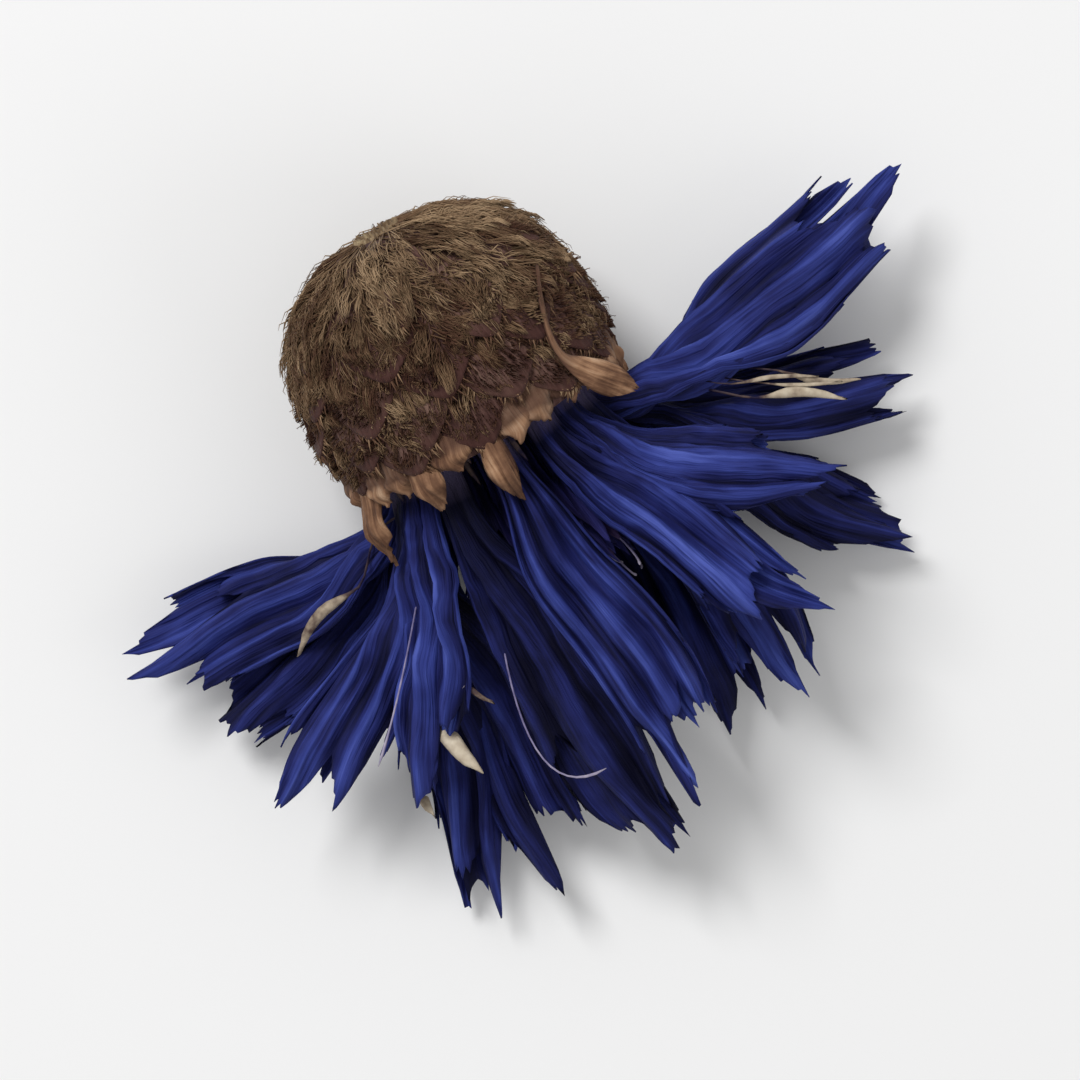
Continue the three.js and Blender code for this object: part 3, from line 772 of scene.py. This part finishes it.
def bractFinish(name, stops, fringe):
    # ribs run the length, the margin is dark and papery, and the colour wanders from bract to bract
    material, tree, skin = newFinish(name, 0.72, specular=0.14, sheen=0.02)
    ribs = grain(tree, 60, 3.0)
    clouds = mottling(tree, 900, 4.0, 0.6)
    shade = maths(tree, "ADD", weighted(tree, "tone", 0.35), 0.36)
    shade = addPatterns(tree, shade, (ribs, 1.3), (clouds, 1.1))
    colour = ramp(tree, shade, stops)
    border = addPatterns(tree, attribute(tree, "edge"), (clouds, 1.2))
    margin = remap(tree, border, (0.4, 1.0), (0.0, 0.8))
    tree.links.new(mixColour(tree, margin, colour, fringe), skin.inputs["Base Color"])
    bump(tree, skin, maths(tree, "ADD", ribs, clouds), 0.12)
    return material


bracts = {
    # each row: where it starts, how many, length, width
    "rows": [(0.3, 6, 2.1, 2.0), (1.1, 8, 2.6, 2.6), (2.1, 9, 2.6, 2.7), (3.2, 10, 2.5, 2.6),
             (4.3, 11, 2.1, 2.3)],
    "columns": 17, "steps": 16,
    "turnJitter": 0.3, "lengthJitter": 0.16,
    "sink": 0.06, "lift": 0.38, "wall": 0.06,
    "cilia": 60, "ciliaLength": 0.42, "ciliaRadii": [0.035, 0.024, 0.006],
    "brown": [(0.2, (0.028, 0.011, 0.009)), (0.45, (0.078, 0.036, 0.03)), (0.65, (0.14, 0.074, 0.06)),
              (0.9, (0.24, 0.145, 0.11))],
    "margin": (0.055, 0.021, 0.017),
    "fringe": [(0.0, (0.05, 0.02, 0.013)), (0.5, (0.15, 0.08, 0.048)), (1.0, (0.42, 0.28, 0.165))],
}


def bractPlaces(rows):
    # row, index, angle, start, length and width of every bract
    places = []
    for r, (at, count, length, width) in enumerate(rows):
        index = np.arange(count)
        angle = 2 * np.pi * (index + 0.5 * (r % 2) + bracts["turnJitter"] * (scatter(index, r) - 0.5)) / count
        grown = length * (1 + bracts["lengthJitter"] * (scatter(index + 40, r) - 0.5))
        places += list(zip([r] * count, index, angle, [at] * count, grown, [width] * count))
    return np.array(places)


def bractEnd(x):
    # where a bract ends at x across it, as a share of its length: a rounded point
    return 1 - 0.3 * np.abs(x) ** 2.2


def bractSurface(places, x, s):
    # a scale that follows the body from its root and stands off it towards its tip; x runs
    # across it from -1 to 1, and s along it from 0, past 1 for what hangs over its tip
    row, index, angle, at, length, width = np.moveaxis(places, -1, 0)
    z = at + length * s
    on = np.minimum(s, 1)
    half = width / 2 * (0.8 + 0.85 * on - 1.15 * on * on)
    half = half * (1 + 0.05 * drift(s, x, 3 + row, 2))
    lift = (bracts["lift"] - 0.12 * np.abs(x) ** 2) * np.maximum(s, 0) ** 1.2 - bracts["sink"]
    lift = lift + 0.1 * smooth(0.75, 1, s) * (scatter(index, row + 9) - 0.3)
    away = outward(angle + x * half / np.maximum(bodyRadius(z) + lift, 0.5))
    out = slopeOut(away, z)
    return away * bodyRadius(z)[..., None] + axis * z[..., None] + out * lift[..., None], out, half


def bractSheets(places):
    # every bract on a grid, dark at its edge, with its own tone and stretch of pattern
    x, v = sheetGrid(bracts["columns"], bracts["steps"])
    s = v * bractEnd(x)
    points, away, half = bractSurface(places[:, None, None, :], x, s)
    edge = np.maximum(np.abs(x) ** 1.5 * smooth(0.2, 0.5, s), smooth(0.5, 0.95, v + 0 * s))
    row, index = places[:, 0, None, None], places[:, 1, None, None]
    uv = surfaceUv(x * half, s * 2.6 + 2 * row)
    return points, points - away, uv, {"along": s, "tone": scatter(index + 3, row + 2), "edge": edge}


bractPlace = bractPlaces(bracts["rows"])
bractBrown = bractFinish("bract brown", bracts["brown"], bracts["margin"])
bractPiece = gridMesh("bracts", *bractSheets(bractPlace))
finishPiece(bractPiece, bractBrown, None, bracts["wall"])
bodyPiece = gridMesh("involucre_body", *involucreBody(), closed=True, caps=True)
finishPiece(bodyPiece, bractBrown, "involucre")
print("bracts:", len(bractPiece.data.polygons), "faces")


scar = {
    # where the stem has snapped off: its radius, how far its ragged ring stands up, and its bundles
    "radius": 0.84, "ring": 0.26, "ragged": 0.12, "bundles": 13,
    "rings": 22, "around": 104,
    "straw": [(0.15, (0.05, 0.028, 0.016)), (0.45, (0.14, 0.09, 0.05)), (0.7, (0.27, 0.19, 0.11)),
              (0.95, (0.42, 0.33, 0.2))],
    "pith": (0.06, 0.035, 0.02),
}


def scarSurface():
    # A disc over the recess. Its ring is a bump of the radius with its top broken up by sines round
    # it, the stem's bundles are small lumps inside the ring, and the pith in the middle is sunken.
    turn = roundTurn(scar["around"])[None, :]
    r = np.linspace(0.02, 1, scar["rings"])[:, None]
    frayed = drift(4 * turn, r, 61, 1.0) + 0.6 * np.sin(29 * turn + 2 * np.sin(3 * turn))
    frayed = frayed + 0.5 * np.sin(47 * turn + 9 * r)
    ring = smooth(0.5, 0.74, r) * (1 - smooth(0.84, 1, r))
    lumps = np.exp(-((r - 0.5) / 0.1) ** 2) * np.clip(np.sin(scar["bundles"] * turn + 3 * r), 0, 1)
    rise = (scar["ring"] + scar["ragged"] * frayed) * ring + 0.07 * lumps
    rise = rise + 0.03 * drift(5 * r, 3 * turn, 62, 1.2)
    rise = rise + 0.06 * smooth(0.2, 0.5, r) * (r < 0.5)
    radius = scar["radius"] * r * (1 + 0.03 * np.sin(5 * turn + 1))
    points = outward(turn) * radius[..., None] + axis * (cup["scarDepth"] - 0.04 - rise)[..., None]
    uv = roundUv(scar["around"], 5.3, r * 0.8)
    values = {"along": r, "tone": 0.3 + 0.5 * ring + 0.3 * lumps, "edge": 0.5 * (1 - smooth(0.1, 0.45, r))}
    return points[None], (points + axis)[None], uv[None], values


scarPiece = gridMesh("stem_scar", *scarSurface(), closed=True, caps=True)
finishPiece(scarPiece, bractFinish("scar straw", scar["straw"], scar["pith"]))


def fringePaths():
    # cilia round the upper margin of every bract, unevenly spaced, pointing along and a little out
    seed = np.arange(len(bractPlace))[:, None] * 31 + np.arange(bracts["cilia"])
    m = either(seed, 2)
    x = np.clip(1.6 * m, -1, 1)
    v = np.where(np.abs(1.6 * m) > 1, 1 - (np.abs(1.6 * m) - 1) * 0.9, 1.0)
    root, away, half = bractSurface(bractPlace[:, None, :], x, v * bractEnd(x))
    sideways = unit(np.cross(axis, away))
    lean = -0.8 * m + 1.1 * (scatter(seed, 4) - 0.5)
    out = np.cross(away, sideways) + sideways * lean[..., None]
    out = unit(out + away * (0.5 * scatter(seed, 6) - 0.1)[..., None])
    length = bracts["ciliaLength"] * (0.4 + 0.9 * scatter(seed, 9) ** 2)[..., None, None]
    t = np.linspace(0, 1, len(bracts["ciliaRadii"]))[:, None]
    root, away, out = root[..., None, :], away[..., None, :], out[..., None, :]
    path = root - out * 0.08 + out * length * t - away * 0.08 * t ** 2
    return path.reshape(-1, len(t), 3), scatter(seed, 21).ravel()


def hairFinish(name, stops):
    # each hair its own tone, darker at the root as painted shade, in patches
    material, tree, skin = newFinish(name, 0.6, specular=0.1)
    shade = weighted(tree, "tone", 0.75)
    # painted shade: a hair is darker towards its root
    shade = maths(tree, "ADD", shade, weighted(tree, "along", 0.25))
    shade = addPatterns(tree, shade, (mottling(tree, 480, 2.0), 0.9))
    tree.links.new(ramp(tree, shade, stops), skin.inputs["Base Color"])
    return material


path, tone = fringePaths()
fringePiece = hairMesh("bract_fringe", path, bracts["ciliaRadii"], tone=tone)
finishPiece(fringePiece, hairFinish("fringe tan", bracts["fringe"]))


# Long inner bracts round the rim, with papery orange-tan tips

innerBracts = {
    # angle from the upper side, reach past the rim, flare, width, how far its end bends inwards,
    # and how brown it has stayed
    "tips": [(-3, 1.9, 0.3, 0.8, 0.8, 0), (-17, 0.16, 0.2, 1.5, 0.1, 0.1), (-33, 1.1, 0.25, 1.0, 0.5, 0),
             (-56, 0.3, 0.2, 1.2, 0.1, 0.4), (-67, 1.9, 0.5, 1.3, 0.2, 0), (-102, 0.7, 0.3, 1.1, 0.4, 0.2),
             (-140, 1.1, 0.3, 1.0, 0.4, 0), (-168, 1.3, 0.2, 1.0, 0.3, 0.2), (164, 0.6, 0.2, 1.1, 0.3, 0.1),
             (138, 1.3, 0.3, 1.0, 0.5, 0), (110, 0.7, 0.3, 1.1, 0.4, 0.2), (82, 0.7, 0.1, 1.0, 0.15, 0.5),
             # shorter ones behind them
             (22, 0.2, 0.1, 1.3, 0.1, 0.6), (36, 0.15, 0.1, 1.3, 0.1, 0.7), (50, 0.3, 0.1, 1.2, 0.2, 0.5),
             (66, 0.5, 0.2, 1.1, 0.3, 0.6), (97, 0.4, 0.1, 1.2, 0.2, 0.6), (124, 0.5, 0.1, 1.2, 0.2, 0.4),
             (151, 0.6, 0.1, 1.1, 0.3, 0.6), (178, 0.7, 0.1, 1.1, 0.2, 0.5), (-154, 0.5, 0.1, 1.2, 0.3, 0.6),
             (-122, 0.6, 0.1, 1.1, 0.3, 0.4), (-91, 0.3, 0.1, 1.2, 0.2, 0.6), (-79, 0.5, 0.1, 1.0, 0.2, 0.5),
             (-45, 0.25, 0.1, 1.2, 0.2, 0.6), (9, 0.3, 0.1, 1.2, 0.1, 0.5)],
    # one that has come loose: a strand over the wool that ends in a broad spoon, by forward, side,
    # height and half of its width
    "loose": [(-1.2, 3.6, 7.6, 0.06), (-0.3, 3.2, 8.3, 0.08), (0.7, 2.9, 8.45, 0.1),
              (1.5, 2.9, 8.35, 0.14), (2.1, 3.25, 8.1, 0.36), (2.6, 3.65, 7.8, 0.48),
              (3.05, 4.05, 7.5, 0.4), (3.4, 4.35, 7.25, 0.12)],
    "looseLength": 7.0, "looseAngle": 0.75, "looseTilt": 0.35,  # and the way that its back faces
    "below": 1.4, "keel": 0.24, "neck": 0.8,
    "paperFrom": 0.8,  # how far from its root it turns papery
    # the end's nicks: depth, waves across it, and how each bract's are shifted
    "ragged": [(0.03, 4.3, 2.1), (0.02, 17, 1), (0.015, 31, 3)],
    "columns": 15, "rows": 28, "wall": 0.1,
    "tan": [(0.1, (0.06, 0.026, 0.016)), (0.4, (0.17, 0.086, 0.048)), (0.62, (0.33, 0.185, 0.105)),
            (0.95, (0.54, 0.36, 0.235))],
    "margin": (0.07, 0.033, 0.024),
}


def looseBract(x, s):
    # it runs along its own line, arched across, with the half width that is given along it
    step = 0.02
    knots = np.array([[*spotAt(*knot[:3]), knot[3]] for knot in innerBracts["loose"]])
    line = smoothLine(knots, s)
    along = unit(smoothLine(knots, s + step)[..., :3] - smoothLine(knots, s - step)[..., :3])
    out = unit(outward(np.array(innerBracts["looseAngle"])) + innerBracts["looseTilt"] * axis)
    half = np.maximum(line[..., 3], 0.03)
    arch = 0.28 * half * (1 - x ** 2) + 0.12 * drift(s, 0.8 * x, 71, 1.3) * smooth(0.5, 0.7, s)
    points = line[..., :3] + unit(np.cross(along, out)) * (x * half)[..., None] + out * arch[..., None]
    return points, out, x * half


def innerSurface():
    # A strap arched across its width that narrows to a blunt ragged end and curls in at its edges.
    # Its radius from the axis grows by the flare and falls again by the bend. The loose one is last.
    around, reach, flare, width, bend, brown = np.array(innerBracts["tips"]).T[..., None, None]
    x, v = sheetGrid(innerBracts["columns"], innerBracts["rows"])
    number = np.arange(len(around) + 1)[:, None, None]
    ragged = sum(nick * np.sin(waves * x + own * number) for nick, waves, own in innerBracts["ragged"])
    s = v * (1 - 0.22 * np.abs(x) ** 2 + ragged * smooth(0.5, 1, v))
    own, spoon, seed = s[:-1], s[-1], number[:-1]
    length = reach + innerBracts["below"]
    swell = innerBracts["neck"] + (1 - innerBracts["neck"]) * smooth(0.3, 0.6, own)
    swell = swell * (1 - 0.55 * smooth(0.6, 1, own)) * (1 + 0.2 * drift(own, 0.3 * x, 50 + seed, 1.4))
    half = width / 2 * swell
    radius = cup["rimRadius"] + flare * smooth(0.2, 0.75, own) - bend * smooth(0.6, 1, own) ** 2
    radius = radius + innerBracts["keel"] * (1 - x * x)
    radius = radius + 0.16 * drift(own, 0.9 * x, 8 + seed, 1.8) * smooth(0.3, 0.7, own)
    sway = 0.2 * drift(own, 0 * own, 90 + seed, 0.8) * smooth(0.3, 1, own)
    away = outward(np.radians(around) + (x * half + sway) / radius)
    points = away * radius[..., None] + axis * (cup["rimAt"] - innerBracts["below"] + length * own)[..., None]
    loose, out, looseAcross = looseBract(x[0], spoon)
    points = np.concatenate([points, loose[None]])
    inner = points - np.concatenate([away, np.broadcast_to(out, away[:1].shape)])
    across = np.concatenate([x * half, looseAcross[None]])
    lengths = np.concatenate([length, [[[innerBracts["looseLength"]]]]])
    uv = surfaceUv(across, s * lengths + 3 * number)
    paper = innerBracts["paperFrom"]
    rooted = 0.75 * (1 - smooth(paper, paper + 0.5, own * length)) + brown
    edge = np.concatenate([rooted, 0.6 * (1 - smooth(0.45, 0.62, spoon))[None]])
    edge = edge + (0.35 + 0.25 * drift(s, 0 * s, number, 2.5)) * np.abs(x) ** 2.5 + 0.25 * smooth(0.9, 1, v)
    tone = 0.9 * scatter(number, 5) + 0.5 * drift(s, 0.5 * x, 33 + number, 1.6)
    return points, inner, uv, {"along": s, "tone": tone, "edge": edge}


tipTan = bractFinish("inner bract tan", innerBracts["tan"], innerBracts["margin"])
innerPiece = gridMesh("inner_bracts", *innerSurface())
finishPiece(innerPiece, tipTan, None, innerBracts["wall"])
print("inner bracts:", len(innerPiece.data.polygons), "faces")


# Wool: fine hairs over the bracts, combed from the stem's end towards the rim

wool = {
    # pieces of it: hairs, how long each is, points along it
    "wool_long": (9200, 0.68, 4), "wool_short": (13200, 0.4, 3), "wool_ground": (7600, 0.5, 3),
    "rowShares": (1.0, 1.0, 1.1, 1.1, 0.9, 1.0, 0.8, 0.6),  # how thickly each row is haired
    # patches of the body's own wool between the bracts and round the scar: start, how many, length, width
    "ground": [(0.02, 12, 1.7, 1.5), (0.5, 16, 2.0, 1.7), (2.0, 16, 2.2, 2.0)],
    "rootFrom": 0.16,  # what lies nearer a bract's root is covered by the row before
    "rootTo": 0.84,
    "bareFrom": (1.05, 0.58),  # where a bract's bare end starts, near the stem and near the rim
    "worn": 0.5,  # how much further the wool is gone in its thin patches
    "across": 2.5, "along": 3.2,  # tufts on half a bract's width, and on its length
    "heading": 1.0, "swirl": 1.0, "fray": 0.42, "curl": 1.3,  # radians off the bract's own line
    "matted": 0.8,  # how much a hair is drawn to its tuft's tip
    "loft": 0.2, "stray": 0.15,  # heights of the tufts and of the few hairs that stand off
    "strays": 0.04,  # the share of those
    "radius": 0.021,
    "tan": [(0.0, (0.034, 0.012, 0.007)), (0.25, (0.084, 0.038, 0.024)), (0.55, (0.165, 0.099, 0.055)),
            (1.0, (0.38, 0.26, 0.155))],
}


def woolEnd(at, length, x, s, tuft, patch, nearRim):
    # how far along its bract the wool reaches: less near the rim and in thin patches, by tufts
    bare = wool["bareFrom"][0] + (wool["bareFrom"][1] - wool["bareFrom"][0]) * nearRim
    worn = wool["worn"] * smooth(0.1, -0.4, patch) * smooth(1.5, 3.5, at + length * s)
    bare = bare * bractEnd(x) * (1 - worn)
    return bare + 0.16 * (scatter(tuft, 19) - 0.5) + 0.3 * (scatter(tuft, 20) > 0.88)


def woolPaths(places, count, reach, steps, seed):
    # Each hair is rooted on a bract. Its heading is the swirl of the wool there, plus its tuft's
    # turn and its own, and it curls as it goes: its path sums the steps' cosines and sines. Then
    # it is drawn to its tuft's tip, and shortened where it would lie over the bract's bare end.
    draw = np.random.default_rng(seed)
    each = (count, 1)
    weight = np.array(wool["rowShares"])[places[:, 0].astype(int)] * places[:, 4] * places[:, 5]
    place = places[draw.choice(len(places), count, p=weight / weight.sum())][:, None, :]
    row, index, angle, at, length, width = np.moveaxis(place, -1, 0)
    t = np.linspace(0, 1, steps)[None, :]
    x = 1.96 * draw.random(each) - 0.98
    rootFrom = np.where((row == 0) | (row > 4), 0.02, wool["rootFrom"])
    s = (rootFrom + (wool["rootTo"] - rootFrom) * draw.random(each)) * bractEnd(x)
    cellAcross = np.floor(wool["across"] * x + scatter(index, 3 + row))
    cellAlong = np.floor(wool["along"] * s + scatter(cellAcross, index + 7 * row))
    tuft = 7 * cellAcross + 3 * cellAlong + 13 * index + 29 * row
    swirl = wool["swirl"] * drift((angle + 0.3 * x) * 0.9, (at + length * s) / 3.4, 4, 1.0)
    tuftHeading = swirl + wool["heading"] * either(tuft, 5)
    course = tuftHeading + wool["fray"] * draw.normal(0, 1, each)
    curl = wool["curl"] * (scatter(tuft, 6) - 0.5 + 0.5 * draw.normal(0, 1, each))
    course = course + curl * (t[:, 1:] - 0.3)
    step = reach * (0.6 + 0.8 * draw.random(each)) / (steps - 1)
    side = 0.45 * width
    goneAlong = np.concatenate([0 * s, np.cumsum(step * np.cos(course), axis=1)], 1) / length
    goneAcross = np.concatenate([0 * s, np.cumsum(step * np.sin(course), axis=1)], 1) / side
    drawn = wool["matted"] * draw.random(each) ** 0.5 * t ** 1.3
    tipAcross = (cellAcross + 0.5) / wool["across"] + 0.8 * reach * np.sin(tuftHeading) / side
    tipAlong = (cellAlong + 0.6) / wool["along"] + 0.8 * reach * np.cos(tuftHeading) / length
    goneAcross = goneAcross + (tipAcross - x - goneAcross) * drawn
    goneAlong = goneAlong + (tipAlong - s - goneAlong) * drawn
    nearRim = smooth(2.6, 5.4, at + length)
    patch = drift(angle * 1.1, (at + length * s) / 2.2, 44, 1.0)  # high where the wool is thick and olive
    bare = woolEnd(at, length, x, s, tuft, patch, nearRim)
    over = np.max(s + goneAlong, 1, keepdims=True)
    short = np.where(over > bare, np.clip((bare - s) / np.maximum(over - s, 0.01), 0.12, 1), 1)
    point, away, half = bractSurface(place, x + goneAcross * short, s + goneAlong * short)
    lift = 0.04 + wool["loft"] * (0.15 + scatter(tuft, 9)) * np.sin(2.4 * t ** 0.8)
    lift = lift + wool["stray"] * (draw.random(each) > 1 - wool["strays"]) * np.sin(1.9 * t)
    tone = 0.3 * draw.random(each) + 0.6 * scatter(tuft, 12) + 0.25 + 0.36 * patch
    tone = tone - 0.45 * nearRim * smooth(0.1, 0.6, s)
    return point + away * np.maximum(lift, 0.03)[..., None], tone[:, 0]


woolTan = hairFinish("wool tan", wool["tan"])
groundPlace = bractPlaces(wool["ground"]) + np.array([len(bracts["rows"]), 0, 0, 0, 0, 0])
for seed, name in enumerate(("wool_long", "wool_short", "wool_ground"), 11):
    count, reach, steps = wool[name]
    places = groundPlace if name == "wool_ground" else bractPlace
    path, tone = woolPaths(places, count, reach, steps, seed)
    taper = np.linspace(1, 0.2, steps)[None, :] * (0.7 + 0.6 * tone[:, None])
    woolPiece = hairMesh(name, path, wool["radius"] * taper, tone=tone)
    finishPiece(woolPiece, woolTan)
    print(name + ":", len(woolPiece.data.polygons), "faces")


# Floor, light and camera

setting = {
    "floor": (0.86, 0.86, 0.86), "floorSize": 2.0,
    "turn": -30.0,  # degrees that the view is turned from the row's x
    "height": 0.26, "span": 0.0325,
    # lamps: their place to the view's right, up in it and over the floor, their size and power
    "lamps": {"key": ((-0.16, 0.2, 0.34), 0.16, 1.15), "fill": ((0.3, -0.15, 0.25), 0.3, 0.2)},
    "sky": 0.5,
}


def softLamp(name, place, size, power):
    # a round lamp that shines on the head
    lamp = bpy.data.lights.new(name, "AREA")
    lamp.shape = "DISK"
    lamp.size = size
    lamp.energy = power
    piece = bpy.data.objects.new(name, lamp)
    piece.location = place
    piece.rotation_euler = (-place).to_track_quat("-Z", "Y").to_euler()
    bpy.context.scene.collection.objects.link(piece)


bpy.ops.mesh.primitive_plane_add(size=setting["floorSize"], location=(0, 0, 0))
floor = bpy.context.object
floor.name = "floor"
floorFinish, floorTree, floorSkin = newFinish("floor", 0.9, specular=0.1)
floorSkin.inputs["Base Color"].default_value = (*setting["floor"], 1)
floor.data.materials.append(floorFinish)

turn = math.radians(setting["turn"])
right, upward = Vector((math.cos(turn), math.sin(turn), 0)), Vector((-math.sin(turn), math.cos(turn), 0))
for name, ((aside, higher, over), size, power) in setting["lamps"].items():
    softLamp(name, aside * right + higher * upward + Vector((0, 0, over)), size, power)
sky = bpy.data.worlds.new("sky")
sky.use_nodes = True
sky.node_tree.nodes["Background"].inputs["Color"].default_value = (1, 1, 1, 1)
sky.node_tree.nodes["Background"].inputs["Strength"].default_value = setting["sky"]
bpy.context.scene.world = sky

bpy.context.scene.view_settings.view_transform = "Standard"
corners = np.concatenate([np.array([v.co for v in piece.data.vertices]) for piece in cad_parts.values()])
flat = np.stack([corners @ np.array(right), corners @ np.array(upward)], -1)
middle = (flat.min(0) + flat.max(0)) / 2
print("seen from above, millimetres:", np.round((flat.max(0) - flat.min(0)) * 1000, 1))
lens = bpy.data.cameras.new("view")
lens.lens = lens.sensor_width * setting["height"] / setting["span"]
lens.clip_start = 0.01
camera = bpy.data.objects.new("view", lens)
camera.location = right * middle[0] + upward * middle[1] + Vector((0, 0, setting["height"]))
camera.rotation_euler = (0, 0, turn)
bpy.context.scene.collection.objects.link(camera)
bpy.context.scene.camera = camera
